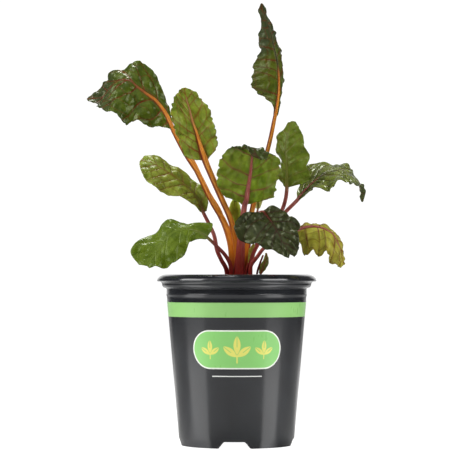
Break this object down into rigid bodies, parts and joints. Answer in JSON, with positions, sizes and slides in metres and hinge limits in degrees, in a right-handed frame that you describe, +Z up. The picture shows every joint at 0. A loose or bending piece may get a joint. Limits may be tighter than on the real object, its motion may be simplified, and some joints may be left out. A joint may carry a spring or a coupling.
{
  "type": "potted swiss chard",
  "caption": "Young swiss chard in a dark round nursery pot with a light green band; broad crinkled leaves stand on orange and deep red stalks above dark potting soil.",
  "frame": {"origin": "middle of the pot's underside, on the surface that the pot stands on; the pot's axis is the Z axis", "axes": "+Z up; -Y is the front, the side with the printed label and the foremost leaf; +X is to the right as seen from the front"},
  "size_m": [0.2015, 0.114, 0.3174],
  "materials": {
    "pot_plastic": "smooth glossy dark grey plastic with a printed light green band and label",
    "potting_mix": "rough, damp, crumbly",
    "crown_orange": "fleshy, satin",
    "crown_red": "fleshy, satin",
    "stalk_orange": "fleshy, ridged, satin",
    "stalk_red": "fleshy, ridged, satin",
    "blade_left_top": "puckered leaf, satin, with red veins",
    "blade_centre_left": "puckered leaf, satin, with red veins",
    "blade_top": "puckered leaf, satin, with red veins",
    "blade_middle": "puckered leaf, satin, with red veins",
    "blade_right_tall": "puckered leaf, satin, with red veins",
    "blade_right_arched": "puckered leaf, satin, with red veins",
    "blade_front": "puckered leaf, satin, with red veins",
    "blade_right_low": "puckered leaf, satin, with red veins",
    "blade_left_middle": "puckered leaf, satin, with red veins",
    "blade_left_low": "puckered leaf, satin, with red veins",
    "blade_young": "puckered leaf, satin, with red veins",
    "blade_back": "puckered leaf, satin, with red veins",
    "blade_inner": "puckered leaf, satin, with red veins",
    "blade_edge": "puckered leaf, satin, with red veins"
  },
  "bodies": {
    "root": {"nursery_pot": "pot_plastic", "potting_soil": "potting_mix", "crown_of_orange_seedling": "crown_orange", "crown_of_red_seedling": "crown_red", "leaf_left_top_stalk": "stalk_orange", "leaf_left_top_blade": "blade_left_top", "leaf_centre_left_stalk": "stalk_orange", "leaf_centre_left_blade": "blade_centre_left", "leaf_top_stalk": "stalk_orange", "leaf_top_blade": "blade_top", "leaf_middle_stalk": "stalk_red", "leaf_middle_blade": "blade_middle", "leaf_right_tall_stalk": "stalk_red", "leaf_right_tall_blade": "blade_right_tall", "leaf_right_arched_stalk": "stalk_red", "leaf_right_arched_blade": "blade_right_arched", "leaf_front_stalk": "stalk_red", "leaf_front_blade": "blade_front", "leaf_right_low_stalk": "stalk_red", "leaf_right_low_blade": "blade_right_low", "leaf_left_middle_stalk": "stalk_red", "leaf_left_middle_blade": "blade_left_middle", "leaf_left_low_stalk": "stalk_red", "leaf_left_low_blade": "blade_left_low", "leaf_young_stalk": "stalk_red", "leaf_young_blade": "blade_young", "leaf_back_stalk": "stalk_red", "leaf_back_blade": "blade_back", "leaf_inner_stalk": "stalk_red", "leaf_inner_blade": "blade_inner", "leaf_edge_stalk": "stalk_red", "leaf_edge_blade": "blade_edge", "shoot_front_stalk": "stalk_red", "shoot_side_stalk": "stalk_red"}
  },
  "joints": []
}
